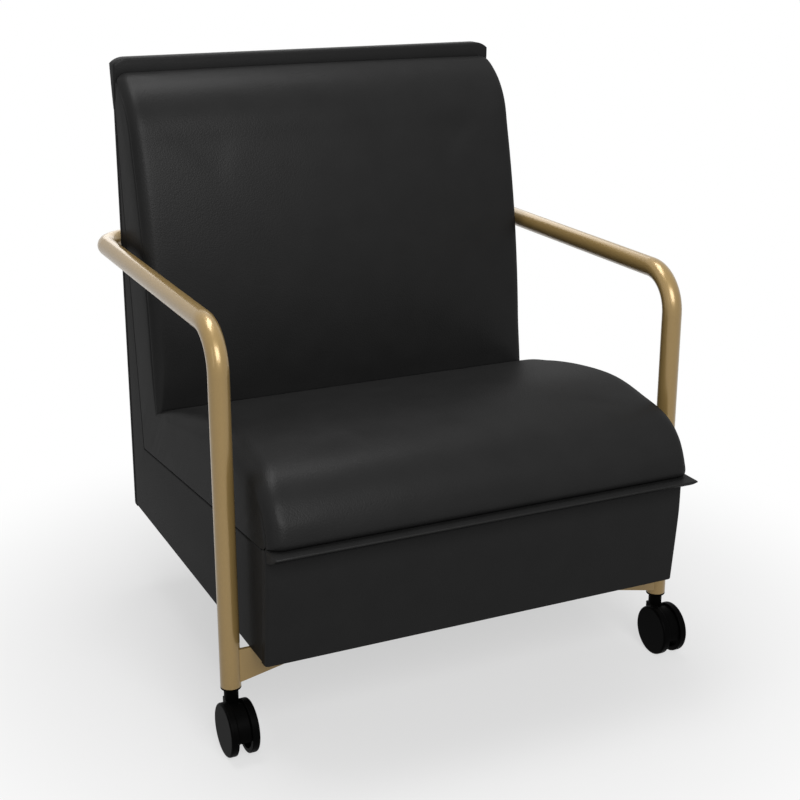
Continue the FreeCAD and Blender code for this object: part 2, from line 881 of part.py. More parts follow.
wheel_inner_x = hood_width / 2 + wheel_gap
wheel_outer_x = wheel_inner_x + wheel_width
axle_end_x = wheel_outer_x - axle_end_wall - axle_gap


def caster_axle():
    """Left caster's axle, fast in the hood."""
    return rod(axle_diameter / 2, *wheel_axis(-axle_end_x, axle_end_x))


def wheel_point(x, radius):
    """Point of the inner wheel's outline: x from the middle of the left caster, radius from its axle."""
    return Vec(-post_x + x, axle_y, wheel_radius + radius)


def rim_corner(x, to_tread, size):
    """Rounded corner between a wheel's face at x and its tread, which lies to_tread (1 or -1) along x."""
    bevel = size * (1 - math.sqrt(0.5))
    face = wheel_point(x, wheel_radius - size)
    middle = wheel_point(x + to_tread * bevel, wheel_radius - bevel)
    return Part.Arc(face, middle, wheel_point(x + to_tread * size, wheel_radius)).toShape()


def wheel_blank():
    """Left caster's inner wheel before it is hollowed, turned about the axle."""
    inner_middle, outer_middle = wheel_point(wheel_inner_x, 0), wheel_point(wheel_outer_x, 0)
    inner_tread = wheel_point(wheel_inner_x + wheel_inner_round, wheel_radius)
    outer_tread = wheel_point(wheel_outer_x - wheel_outer_round, wheel_radius)
    outline = Part.Wire([
        Part.makeLine(inner_middle, wheel_point(wheel_inner_x, wheel_radius - wheel_inner_round)),
        rim_corner(wheel_inner_x, 1, wheel_inner_round),
        Part.makeLine(inner_tread, outer_tread),
        rim_corner(wheel_outer_x, -1, wheel_outer_round),
        Part.makeLine(wheel_point(wheel_outer_x, wheel_radius - wheel_outer_round), outer_middle),
        Part.makeLine(outer_middle, inner_middle),
    ])
    return Part.Face(outline).revolve(inner_middle, Vec(1, 0, 0), 360)


def caster_wheel():
    """Left caster's inner wheel: a rim and hub on a closed outer disc."""
    groove_axis = wheel_axis(wheel_inner_x, wheel_outer_x - wheel_disc)
    groove = rod(wheel_radius - wheel_rim, *groove_axis).cut(rod(wheel_hub / 2, *groove_axis))
    bore = rod(axle_diameter / 2 + axle_gap, *wheel_axis(wheel_inner_x, wheel_outer_x - axle_end_wall))
    return wheel_blank().cut([groove, bore])


def other_wheel(wheel):
    """The wheel on the other side of the left caster's hood."""
    return wheel.mirror(Vec(-post_x, 0, 0), Vec(1, 0, 0))


def save_pair(name, shape):
    """Writes a left piece and its mirror image as two nodes."""
    save("left_" + name, shape)
    save("right_" + name, mirrored(shape))


def main():
    os.makedirs("parts", exist_ok=True)
    save_pair("arm_tube", arm_tube())
    save("rear_bar", rear_bar())
    for name, piece in (
        ("rear_bar_sleeves", bar_sleeve()),
        ("rear_bar_standoffs", bar_standoff()),
        ("rear_bar_bolts", bar_bolt()),
        ("rear_bar_rivet_nuts", bar_rivet_nut()),
        ("front_blocks", front_block()),
        ("rear_blocks", rear_block()),
        ("leg_plates", leg_top_plate()),
    ):
        save(name, piece, mirrored(piece))
    save("front_cross_rail", cross_rail())
    save("cross_rail_bolts", *[rail_bolt(x) for x in rail_bolt_places])
    save("apron_cover", apron_cover())
    save_pair("side_cover", side_cover())
    save("outer_back_cover", back_cover())
    save("front_lip", front_lip())
    save("top_lip", top_lip())
    save("dust_cover", dust_cover())
    save_pair("side_rail", side_rail())
    save_pair("back_post", back_post())
    save("front_rail", front_rail())
    save("seat_rail", seat_rail())
    save("rear_rail", rear_rail())
    save("back_board", back_board())
    strap_places = spread(lengthwise_straps, -inner_half, inner_half)
    save("seat_straps_lengthwise", *[lengthwise_strap(x) for x in strap_places])
    strap_places = spread(crosswise_straps, apron_y + apron_cover_thickness, corner_y)
    save("seat_straps_crosswise", *[crosswise_strap(y) for y in strap_places])
    strap_places = spread(back_straps, seam_corner_height, back_post_height)
    save("back_straps", *[back_strap(z) for z in strap_places])
    save_cushion("seat", seat_section, seat_side_round, seat_crown)
    save_cushion("back", back_section, back_side_round, back_crown)
    save_pair("rear_leg", rear_leg())
    save("leg_screws", *[leg_screw(x, y) for x, y in leg_screw_places])
    save_pair("glide", glide())
    save_pair("caster_socket", caster_socket())
    save_pair("caster_stem", caster_stem())
    save_pair("caster_washer", caster_washer())
    save_pair("caster_hood", caster_hood())
    save_pair("caster_axle", caster_axle())
    wheel = caster_wheel()
    save_pair("caster_inner_wheel", wheel)
    save_pair("caster_outer_wheel", other_wheel(wheel))


main()
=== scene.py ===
"""Looks of the lounge chair: black leather upholstery on a gold tube frame, with black casters in front.

Metres. X runs across (left is -X as seen from the front), the front faces -Y, Z is up from the floor.
"""
import json
import math
import bpy
import bmesh
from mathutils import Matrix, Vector


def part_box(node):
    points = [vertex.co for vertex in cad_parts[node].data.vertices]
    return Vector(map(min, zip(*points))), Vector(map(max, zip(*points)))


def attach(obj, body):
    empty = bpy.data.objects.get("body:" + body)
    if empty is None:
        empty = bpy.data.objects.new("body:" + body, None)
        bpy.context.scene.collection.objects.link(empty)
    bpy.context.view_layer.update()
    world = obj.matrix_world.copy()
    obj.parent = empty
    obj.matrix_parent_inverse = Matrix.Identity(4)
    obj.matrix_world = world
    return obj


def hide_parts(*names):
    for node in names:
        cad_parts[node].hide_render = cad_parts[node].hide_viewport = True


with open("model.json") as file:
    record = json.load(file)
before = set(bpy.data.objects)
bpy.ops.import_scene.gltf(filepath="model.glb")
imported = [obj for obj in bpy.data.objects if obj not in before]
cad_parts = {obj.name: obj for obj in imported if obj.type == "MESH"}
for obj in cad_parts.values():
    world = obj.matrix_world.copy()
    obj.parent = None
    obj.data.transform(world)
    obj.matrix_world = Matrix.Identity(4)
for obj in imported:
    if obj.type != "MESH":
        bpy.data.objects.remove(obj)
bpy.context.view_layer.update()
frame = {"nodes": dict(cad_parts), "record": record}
nodes = frame["nodes"]
scene = bpy.context.scene
mm = 0.001

# Shell sizes that the boxes of the frame don't give
seam_depth = 1.6 * mm
tuck_depth = 3 * mm
seam_width = 3.2 * mm
shell_corner = 5.5 * mm
shell_return = 16 * mm
seam_bend = 11 * mm
panel_sink = 0.15 * mm
leather_thickness = 2 * mm
hem_radius = 3 * mm
shell_edge = 11.5 * mm
dust_cover_inset = 3 * mm
panel_overlap = 1 * mm
apron_knee_height = 262 * mm
knee_softness = 16 * mm
front_lip_root = 19 * mm
front_lip_tip = 3 * mm
front_lip_hollow = 2 * mm
lip_end_round = 1.2 * mm
lip_end_bevel = 0.4 * mm
top_lip_step = 57 * mm
top_lip_edge = 4 * mm
top_lip_corner_width = 22 * mm
top_lip_corner_drop = 9 * mm
top_lip_bulge = 1.5 * mm

# Sewn edge of a side panel: distance in from the edge, and depth below the panel's face
panel_edge = [(0.0, leather_thickness), (0.0, seam_depth), (0.7 * mm, 0.7 * mm), (1.5 * mm, 0.2 * mm),
              (seam_width, 0.0)]

# Seat cushion: the side outline is a tuck at the toe and three arcs, given by their ends and their bows
seat_crest_height = 427.5 * mm
seat_crest_setback = 165 * mm
seat_brow_drop = 12.5 * mm
seat_brow_setback = 77 * mm
seat_nose_bow = 26.5 * mm
seat_brow_bow = 2.5 * mm
seat_top_bow = 12 * mm
seat_overhang = 20 * mm
nose_tuck = 6 * mm
nose_tuck_height = 9 * mm
nose_tuck_bow = 2 * mm
seat_crown = 4 * mm
seat_side_round = 29 * mm
seat_rear_round = 11 * mm
seat_nose_round = 22 * mm
seat_toe_round = 20 * mm
cheek_depth = 1.6 * mm
crown_peak_share = 0.3
crown_rise = 1.6

# Back cushion: a long face and a rolled top that tucks in at the lip
crease_depth = 91 * mm
crease_rise = 90 * mm
back_face_bow = 13 * mm
back_roll_bow = 18 * mm
back_shoulder_drop = 97 * mm
back_shoulder_depth = 84.5 * mm
roll_tuck = 5 * mm
roll_tuck_depth = 8 * mm
roll_tuck_bow = 1.5 * mm
back_crown = 6 * mm
back_crown_power = 0.7
back_side_round = 16 * mm
back_top_round = 18 * mm
boxing_depth = 1.8 * mm
boxing_width = 3 * mm
cushion_gap = 0.3 * mm

# Stops along a cushion's outline, as (share of the way, value there): the seat's from the toe to the crease,
# the back's from the crease to the top. Those of the cheek and the boxing line are shares of their depth
seat_round_stops = [(0, seat_toe_round), (0.12, seat_nose_round), (0.34, seat_side_round),
                    (0.75, seat_side_round), (1, seat_rear_round)]
cheek_stops = [(0, 1.0), (0.1, 1.0), (0.2, 0.0), (1, 0.0)]
back_round_stops = [(0, seat_rear_round), (0.15, back_side_round), (0.7, back_side_round),
                    (0.92, back_top_round), (1, back_top_round)]
boxing_stops = [(0, 0.6), (0.1, 1.0), (0.75, 1.0), (0.97, 0.0), (1, 0.0)]

# Filling of the cushions by the cloth simulation, and how far from a seam they are sewn down
fill_pressure = 4
fill_frames = 20
leather_stiffness = 20
swell = 1 * mm
sewn_reach = 30 * mm
seam_hold = 4 * mm
mitre_hold = 1 * mm

# Mesh density: rows along a cushion's outline and up its sides, degrees round its edge, columns over its
# face, and the steps of the shell and the lips
row_step = 7 * mm
tuck_row_step = row_step / 3
mitre_rows = 7
line_easing = 4
brow_easing = 14
side_rows = 13
seam_steps = [0.0, 0.8 * mm, 1.7 * mm, 2.8 * mm]
edge_steps = [4.5 * mm, 2 * mm, 0.0]
short_side = 12 * mm
round_steps = (84, 75, 62, 48, 35, 22, 10)
top_columns = 64
panel_steps = 24
apron_side_steps = 12
corner_steps = 6
lip_tip_steps = 8
lip_row_step = 3 * mm
weld_distance = 0.02 * mm
sharpest_corner = 0.3
sharp_angle = 50

# Camera, fitted to the photograph's straight edges
camera_place = (-0.9078, -1.9754, 1.1060)
camera_dip = 18.5
camera_turn = -25.18
camera_lens = 67.545
camera_sensor = 36

# Places read from the frame
half_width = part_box("apron_cover")[1].x
apron_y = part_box("apron_cover")[0].y
apron_foot_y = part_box("dust_cover")[0].y - dust_cover_inset
seam_front_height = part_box("apron_cover")[1].z
body_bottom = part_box("outer_back_cover")[0].z
corner_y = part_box("left_side_rail")[1].y
seam_corner_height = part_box("seat_cover")[0].z - cushion_gap
lip_low, lip_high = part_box("top_lip")
lip_base, body_top = lip_low.z, lip_high.z
lip_front_y, lip_rear_y = lip_low.y, lip_high.y
rear_foot_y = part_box("outer_back_cover")[1].y
rear_top_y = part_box("outer_back_cover")[0].y + leather_thickness
lip_tip_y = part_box("front_lip")[0].y
lip_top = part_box("front_lip")[1].z
seam_top_y = rear_top_y - shell_edge
crease = (corner_y - crease_depth, seam_corner_height + crease_rise)
heel = (corner_y, seam_corner_height)


def linear(colour):
    """An sRGB hex colour as a linear colour with alpha."""
    levels = [int(colour[i:i + 2], 16) / 255 for i in (1, 3, 5)]
    return [c / 12.92 if c <= 0.04045 else ((c + 0.055) / 1.055) ** 2.4 for c in levels] + [1.0]


def add_node(tree, kind, inputs=None, **settings):
    """Adds one node: settings are its own properties, inputs are socket values or links from other nodes."""
    made = tree.nodes.new("ShaderNode" + kind)
    for name, value in settings.items():
        setattr(made, name, value)
    for name, value in (inputs or {}).items():
        if isinstance(value, bpy.types.NodeSocket):
            tree.links.new(value, made.inputs[name])
        else:
            made.inputs[name].default_value = value
    return made


def new_material(name):
    """An empty material with its output, its shader and the place of each point in the piece's own metres."""
    material = bpy.data.materials.new(name)
    material.use_nodes = True
    tree = material.node_tree
    tree.nodes.clear()
    shader = add_node(tree, "BsdfPrincipled")
    add_node(tree, "OutputMaterial", {"Surface": shader.outputs["BSDF"]})
    return material, tree, shader, add_node(tree, "TexCoord").outputs["Object"]


def leather():
    """Black cowhide, drum dyed, embossed with a fine pebble, with a sprayed satin finish: soft highlights.

    The gloss is all in the finish coat, so the hide stays dark where it is seen at a slant.
    The pebble is drawn at 2.4 mm, coarser than the usual 1 mm, so that it shows in the render.
    """
    pebble, mottle = 2.4 * mm, 45 * mm
    material, tree, shader, place = new_material("black_leather")
    grain = add_node(tree, "TexVoronoi", {"Vector": place, "Scale": 1 / pebble, "Randomness": 0.9},
                     feature="F1")
    patches = add_node(tree, "TexNoise", {"Vector": place, "Scale": 1 / mottle, "Detail": 4.0})
    tone = add_node(tree, "ValToRGB", {"Fac": patches.outputs["Fac"]})
    tone.color_ramp.elements[0].position = 0.3
    tone.color_ramp.elements[0].color = linear("#1c1c1c")
    tone.color_ramp.elements[1].position = 0.7
    tone.color_ramp.elements[1].color = linear("#1e1e1e")
    gloss = add_node(tree, "MapRange", {"Value": patches.outputs["Fac"], "From Min": 0.3, "From Max": 0.7,
                                        "To Min": 0.37, "To Max": 0.4})
    relief = add_node(tree, "Bump", {"Height": grain.outputs["Distance"], "Strength": 0.4,
                                     "Distance": 0.4 * mm}, invert=True)
    shader.inputs["Specular IOR Level"].default_value = 0.0
    shader.inputs["Roughness"].default_value = 0.8
    shader.inputs["Coat Weight"].default_value = 0.17
    tree.links.new(tone.outputs["Color"], shader.inputs["Base Color"])
    tree.links.new(gloss.outputs["Result"], shader.inputs["Coat Roughness"])
    tree.links.new(relief.outputs["Normal"], shader.inputs["Normal"])
    tree.links.new(relief.outputs["Normal"], shader.inputs["Coat Normal"])
    return material


def gold_coat():
    """Gold powder coat with metal flake on steel tube: satin, with soft long reflections and a faint peel.

    The flake is drawn at 0.8 mm, coarser than the usual 0.05 mm, so that it shows in the render.
    """
    peel, flake = 3 * mm, 0.8 * mm
    material, tree, shader, place = new_material("gold_powder_coat")
    flakes = add_node(tree, "TexNoise", {"Vector": place, "Scale": 1 / flake, "Detail": 2.0})
    tone = add_node(tree, "ValToRGB", {"Fac": flakes.outputs["Fac"]})
    tone.color_ramp.elements[0].position = 0.35
    tone.color_ramp.elements[0].color = linear("#8a7244")
    tone.color_ramp.elements[1].position = 0.65
    tone.color_ramp.elements[1].color = linear("#957b4c")
    skin = add_node(tree, "TexNoise", {"Vector": place, "Scale": 1 / peel, "Detail": 1.0})
    relief = add_node(tree, "Bump", {"Height": skin.outputs["Fac"], "Strength": 0.08, "Distance": 0.1 * mm})
    shader.inputs["Metallic"].default_value = 0.35
    shader.inputs["Roughness"].default_value = 0.3
    shader.inputs["Coat Weight"].default_value = 0.3
    shader.inputs["Coat Roughness"].default_value = 0.12
    tree.links.new(tone.outputs["Color"], shader.inputs["Base Color"])
    tree.links.new(relief.outputs["Normal"], shader.inputs["Normal"])
    return material


def moulded_black():
    """Black nylon, injection moulded with a fine spark texture: dull, with a soft sheen on its edges.

    The grit is drawn at 0.9 mm, coarser than the usual 0.1 mm, so that it shows in the render.
    """
    grit = 0.9 * mm
    material, tree, shader, place = new_material("black_moulded_nylon")
    texture = add_node(tree, "TexNoise", {"Vector": place, "Scale": 1 / grit, "Detail": 2.0})
    relief = add_node(tree, "Bump", {"Height": texture.outputs["Fac"], "Strength": 0.12,
                                     "Distance": 0.1 * mm})
    gloss = add_node(tree, "MapRange", {"Value": texture.outputs["Fac"], "To Min": 0.38, "To Max": 0.5})
    shader.inputs["Base Color"].default_value = linear("#040404")
    shader.inputs["Specular IOR Level"].default_value = 0.015
    tree.links.new(gloss.outputs["Result"], shader.inputs["Roughness"])
    tree.links.new(relief.outputs["Normal"], shader.inputs["Normal"])
    return material


def black_coat():
    """Black powder coat on steel: fine peel, satin."""
    peel = 1.2 * mm
    material, tree, shader, place = new_material("black_powder_coat")
    skin = add_node(tree, "TexNoise", {"Vector": place, "Scale": 1 / peel, "Detail": 2.0})
    relief = add_node(tree, "Bump", {"Height": skin.outputs["Fac"], "Strength": 0.2, "Distance": 0.1 * mm})
    gloss = add_node(tree, "MapRange", {"Value": skin.outputs["Fac"], "To Min": 0.35, "To Max": 0.55})
    shader.inputs["Base Color"].default_value = linear("#18181a")
    tree.links.new(gloss.outputs["Result"], shader.inputs["Roughness"])
    tree.links.new(relief.outputs["Normal"], shader.inputs["Normal"])
    return material


def zinc_steel():
    """Zinc plated steel, turned and tumbled: pale grey with a faint blue tone and fine cloudy wear."""
    cloud = 6 * mm
    material, tree, shader, place = new_material("zinc_plated_steel")
    wear = add_node(tree, "TexNoise", {"Vector": place, "Scale": 1 / cloud, "Detail": 5.0})
    tone = add_node(tree, "ValToRGB", {"Fac": wear.outputs["Fac"]})
    tone.color_ramp.elements[0].color = linear("#9fa4a8")
    tone.color_ramp.elements[1].color = linear("#c4c8cb")
    gloss = add_node(tree, "MapRange", {"Value": wear.outputs["Fac"], "To Min": 0.25, "To Max": 0.4})
    shader.inputs["Metallic"].default_value = 1.0
    tree.links.new(tone.outputs["Color"], shader.inputs["Base Color"])
    tree.links.new(gloss.outputs["Result"], shader.inputs["Roughness"])
    return material


def sanded_birch():
    """Birch, sawn and sanded for the frame: pale straw with long faint grain along the boards."""
    ring, stretch = 7 * mm, 12.0
    material, tree, shader, place = new_material("sanded_birch")
    along = add_node(tree, "Mapping", {"Vector": place, "Scale": (1 / ring / stretch, 1 / ring, 1 / ring)})
    grain = add_node(tree, "TexNoise", {"Vector": along.outputs["Vector"], "Scale": 1.0, "Detail": 6.0})
    tone = add_node(tree, "ValToRGB", {"Fac": grain.outputs["Fac"]})
    tone.color_ramp.elements[0].position = 0.35
    tone.color_ramp.elements[0].color = linear("#b08c5c")
    tone.color_ramp.elements[1].position = 0.65
    tone.color_ramp.elements[1].color = linear("#d3b483")
    relief = add_node(tree, "Bump", {"Height": grain.outputs["Fac"], "Strength": 0.2, "Distance": 0.2 * mm})
    shader.inputs["Roughness"].default_value = 0.62
    tree.links.new(tone.outputs["Color"], shader.inputs["Base Color"])
    tree.links.new(relief.outputs["Normal"], shader.inputs["Normal"])
    return material


def woven_cloth(name, thread, dark, light):
    """Plain weave of flat threads: a small checker of raised and sunk threads, dull all over."""
    material, tree, shader, place = new_material(name)
    weave = add_node(tree, "TexChecker", {"Vector": place, "Scale": 1 / thread, "Color1": linear(dark),
                                          "Color2": linear(light)})
    relief = add_node(tree, "Bump", {"Height": weave.outputs["Fac"], "Strength": 0.4, "Distance": 0.2 * mm})
    shader.inputs["Roughness"].default_value = 0.9
    tree.links.new(weave.outputs["Color"], shader.inputs["Base Color"])
    tree.links.new(relief.outputs["Normal"], shader.inputs["Normal"])
    return material


def webbing():
    """Elastic upholstery webbing, woven of rubber and polypropylene: charcoal with 2 mm threads."""
    return woven_cloth("woven_elastic_webbing", 2 * mm, "#2e2c2a", "#484541")


def dust_cloth():
    """Black polypropylene bottom cloth, woven: dull, with 1 mm threads."""
    return woven_cloth("woven_black_bottom_cloth", 1 * mm, "#101010", "#1c1c1c")


def background_rays(tree, path):
    """1 for the rays that show the white background: camera, glossy and transmission rays."""
    seen = add_node(tree, "Math", {0: path["Is Camera Ray"], 1: path["Is Glossy Ray"]}, operation="MAXIMUM")
    seen = add_node(tree, "Math", {0: seen.outputs[0], 1: path["Is Transmission Ray"]}, operation="MAXIMUM")
    return seen.outputs[0]


def studio_floor():
    """Matt white studio sweep: near the chair it shows a quarter of its real shading under a dimmed glow, a
    painted shadow, and further out it fades to plain white.
    """
    shade_radius, white_radius = 0.3, 0.95
    # Right by the chair: the share of the glow over the real shading, and the glow's strength, dimmed into a
    # painted shadow
    near_share, painted_shadow_level = 0.75, 0.76
    material, tree, shader, place = new_material("matt_white_sweep")
    shader.inputs["Roughness"].default_value = 0.9
    shader.inputs["Specular IOR Level"].default_value = 0.1
    path = add_node(tree, "LightPath").outputs
    paint = add_node(tree, "Mix", {0: path["Is Diffuse Ray"], 6: linear("#f2f2f2"), 7: linear("#8c8c8c")},
                     data_type="RGBA")
    tree.links.new(paint.outputs[2], shader.inputs["Base Color"])
    reach = add_node(tree, "VectorMath", {0: place}, operation="LENGTH")
    fade = add_node(tree, "MapRange", {"Value": reach.outputs["Value"], "From Min": shade_radius,
                                       "From Max": white_radius},
                    interpolation_type="SMOOTHSTEP")
    cover = add_node(tree, "MapRange", {"Value": fade.outputs["Result"], "To Min": near_share})
    # Painted shadow: the glow is dimmed near the chair and rises to full white further out
    level = add_node(tree, "MapRange", {"Value": fade.outputs["Result"], "To Min": painted_shadow_level})
    share = add_node(tree, "Math", {0: cover.outputs["Result"], 1: background_rays(tree, path)},
                     operation="MULTIPLY")
    white = add_node(tree, "Emission", {"Color": linear("#ffffff"), "Strength": level.outputs["Result"]})
    mixed = add_node(tree, "MixShader", {0: share.outputs[0], 1: shader.outputs["BSDF"],
                                         2: white.outputs["Emission"]})
    tree.links.new(mixed.outputs["Shader"], tree.nodes["Material Output"].inputs["Surface"])
    return material


def rear_face(z):
    """Y of the outer back at height z, below the top lip."""
    return rear_foot_y + (rear_top_y - rear_foot_y) * (z - body_bottom) / (lip_base - body_bottom)


def apron_face(z):
    """Y of the apron's outer face at height z: upright above a soft knee, leaning back below it."""
    slope = (apron_foot_y - apron_y) / (apron_knee_height - body_bottom)
    below = apron_knee_height - z
    soft = (below + math.sqrt(below ** 2 + knee_softness ** 2)) / 2
    return apron_y + slope * soft


def seat_seam(y):
    """Height of the seam under the seat cushion at y."""
    share = (y - apron_y) / (corner_y - apron_y)
    return seam_front_height + (seam_corner_height - seam_front_height) * share


def arc(start, end, bow, step):
    """Points on the arc from start to end that bows out to the left of the way, without the end itself."""
    chord = Vector(end) - Vector(start)
    left = Vector((-chord.y, chord.x)).normalized()
    half = chord.length / 2
    radius = (half ** 2 + bow ** 2) / (2 * bow)
    centre = (Vector(start) + Vector(end)) / 2 - left * (radius - bow)
    turn = 2 * math.asin(half / radius)
    count = max(2, round(radius * turn / step))
    first = math.atan2(start[1] - centre.y, start[0] - centre.x)
    angles = [first - turn * i / count for i in range(count)]
    return [(centre.x + radius * math.cos(a), centre.y + radius * math.sin(a)) for a in angles]


def eased(points, rounds):
    """The same line with its kinks smoothed out, ends kept."""
    for _ in range(rounds):
        inner = [tuple((a + 2 * b + c) / 4 for a, b, c in zip(*three))
                 for three in zip(points, points[1:], points[2:])]
        points = [points[0]] + inner + [points[-1]]
    return points


def outward(points):
    """Unit normals of a (y, z) line, to the left of its way."""
    normals = []
    for i in range(len(points)):
        before, after = Vector(points[max(i - 1, 0)]), Vector(points[min(i + 1, len(points) - 1)])
        way = (after - before).normalized()
        normals.append(Vector((-way.y, way.x)))
    return normals


def mitred(normals, mitre_end):
    """The same normals, turned into the plane where the two cushions meet towards that end, 0 or -1."""
    plane = (Vector(crease) - Vector(heel)).normalized()
    last = len(normals) - 1
    turned = []
    for i, normal in enumerate(normals):
        steps = i if mitre_end == 0 else last - i
        share = max(0.0, 1 - steps / mitre_rows)
        turned.append(normal.lerp(plane, share * share).normalized())
    return turned


def along_line(corners, shares):
    """Points at given shares of the length of a line through corners."""
    lengths = [math.dist(a, b) for a, b in zip(corners, corners[1:])]
    places = []
    for share in shares:
        left = share * sum(lengths)
        part = 0
        while part < len(lengths) - 1 and left > lengths[part]:
            left -= lengths[part]
            part += 1
        t = left / lengths[part]
        places.append(tuple(a + (b - a) * t for a, b in zip(corners[part], corners[part + 1])))
    return places


def shares_of(points):
    """Share of the way along a line for each of its points, in even steps."""
    return [i / (len(points) - 1) for i in range(len(points))]


def even_steps(start, end, count):
    """Values from start to end in as many even steps as count says."""
    return [start + (end - start) * i / count for i in range(count + 1)]


def quarter_turn(steps):
    """Angles from 0 to 90 degrees in even steps, in radians."""
    return even_steps(0.0, math.pi / 2, steps)


def between(share, stops):
    """Value at a share of the way, eased between (share, value) stops."""
    for (a, low), (b, high) in zip(stops, stops[1:]):
        if share <= b:
            t = (share - a) / (b - a)
            return low + (high - low) * t * t * (3 - 2 * t)
    return stops[-1][1]


def new_piece(name, mesh_builder, material):
    """Makes an object of a mesh, dresses it and lets it ride on the chair's body."""
    mesh = bpy.data.meshes.new(name)
    bmesh.ops.recalc_face_normals(mesh_builder, faces=mesh_builder.faces)
    mesh_builder.to_mesh(mesh)
    mesh_builder.free()
    mesh.materials.append(material)
    mesh.shade_smooth()
    mesh.set_sharp_from_angle(angle=math.radians(sharp_angle))
    piece = bpy.data.objects.new(name, mesh)
    scene.collection.objects.link(piece)
    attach(piece, "chair")
    return piece


def rings_to_mesh(rings, cap_first, cap_last):
    """Mesh through rings of as many points each, with a face over its first and last ring where asked."""
    built = bmesh.new()
    made = [[built.verts.new(p) for p in ring] for ring in rings]
    count = len(rings[0])
    for low, high in zip(made, made[1:]):
        for i in range(count):
            j = (i + 1) % count
            built.faces.new((low[i], low[j], high[j], high[i]))
    if cap_first:
        built.faces.new(made[0])
    if cap_last:
        built.faces.new(made[-1])
    return built, made


def close_mitre(built, ring):
    """Closes a cushion where it meets the other one: strips from face to hidden sheet, and both sides."""
    hidden = (len(ring) - 2 * side_rows) // 2
    seen = len(ring) - hidden
    for k in range(hidden - 1):
        built.faces.new((ring[side_rows + k], ring[side_rows + k + 1], ring[-2 - k], ring[-1 - k]))
    built.faces.new(ring[:side_rows + 1] + [ring[-1]])
    built.faces.new(ring[seen - side_rows - 1:seen + 1])


def cushion_ring(face, normal, foot, side_round, crown, groove):
    """The seen part of one ring around a cushion: up the left side, over the face and down the right side.

    face is the (y, z) point of the outline, normal its outward way, foot the seam behind it on the side.
    groove is the depth of the sewn line where the side rounds into the face.
    """
    straight = half_width - side_round
    edge = Vector(face) - normal * side_round
    drop = Vector(foot) - edge

    def groove_at(distance):
        return groove * math.exp(-(distance / (boxing_width / 2)) ** 2)

    left = []
    for d in seam_spacing(drop.length):
        share = d / drop.length if drop.length else 0.0
        point = Vector(foot) - drop * share
        tuck = tuck_depth * max(0.0, 1 - d / seam_width) ** 2
        left.append((-half_width + tuck + groove_at(drop.length - d), point.x, point.y))
    for degrees in round_steps:
        angle = math.radians(degrees)
        point = Vector(face) - normal * side_round * (1 - math.cos(angle))
        sink = groove_at(side_round * math.radians(90 - degrees))
        left.append((-straight - side_round * math.sin(angle) + sink, point.x, point.y))
    top = []
    for column in range(top_columns + 1):
        x = straight * (2 * column / top_columns - 1)
        point = Vector(face) + normal * crown * (1 - (x / half_width) ** 2)
        top.append((x, point.x, point.y))
    right = [(-x, y, z) for x, y, z in reversed(left)]
    return left + top + right


def seam_spacing(length):
    """Distances from the seam up a cushion's side: close together at the seam and at the edge of the face."""
    if length < short_side:
        return [length * i / (side_rows - 1) for i in range(side_rows)]
    end = [length - step for step in edge_steps]
    inner = side_rows - len(seam_steps) - len(end)
    low, high = seam_steps[-1], end[0]
    return seam_steps + [low + (high - low) * (i + 1) / (inner + 1) for i in range(inner)] + end


def cushion_rings(faces, normals, feet, rounds, crowns, grooves, flat_end):
    """Rings of a whole cushion, each closed behind by the hidden sheet on the seam.

    flat_end is the index of the ring that folds flat, 0 or -1, where the face runs into the seam.
    """
    fronts = [cushion_ring(*row) for row in zip(faces, normals, feet, rounds, crowns, grooves)]
    closing = fronts[flat_end][side_rows:-side_rows]
    toe = feet[flat_end]
    rings = []
    for i, front in enumerate(fronts):
        share = i / (len(fronts) - 1)
        share = share if flat_end else 1 - share
        foot = feet[i]
        hidden = [(x, foot[0] + share * (y - toe[0]), foot[1] + share * (z - toe[1])) for x, y, z in closing]
        rings.append(front + hidden[::-1])
    return rings


def hold(piece, weights):
    """Vertex group that says how firmly each point of a cushion is sewn down."""
    group = piece.vertex_groups.new(name="sewn")
    for index, weight in enumerate(weights):
        group.add([index], weight, "REPLACE")


def puff(piece, cap):
    """Fills a cushion with pressure by a cloth simulation; no point moves further than the cap."""
    start = [v.co.copy() for v in piece.data.vertices]
    cloth = piece.modifiers.new("filling", "CLOTH")
    cloth.settings.use_pressure = True
    cloth.settings.uniform_pressure_force = fill_pressure
    cloth.settings.bending_stiffness = leather_stiffness
    cloth.settings.effector_weights.gravity = 0
    cloth.settings.vertex_group_mass = "sewn"
    cloth.point_cache.frame_end = fill_frames
    for step in range(1, fill_frames + 1):
        scene.frame_set(step)
    swollen = piece.evaluated_get(bpy.context.evaluated_depsgraph_get()).data
    moves = [swollen.vertices[i].co - co for i, co in enumerate(start)]
    piece.modifiers.remove(cloth)
    scene.frame_set(1)
    for vertex, co, move in zip(piece.data.vertices, start, moves):
        vertex.co = co + move * (cap / (cap + move.length))


def finish_cushion(piece, cap):
    """Simulates a cushion, then adds one subdivision that keeps its sewn edges crisp."""
    puff(piece, cap)
    finer = piece.modifiers.new("finer", "SUBSURF")
    finer.levels = 1
    finer.render_levels = 1


def seat_crown_at(share):
    """Crown of the seat at a share of its outline: rising fast behind the toe, then falling to the crease."""
    if share < crown_peak_share:
        return seat_crown * math.sin(math.pi * (crown_rise * share))
    return seat_crown * (1 - share) / (1 - crown_peak_share)


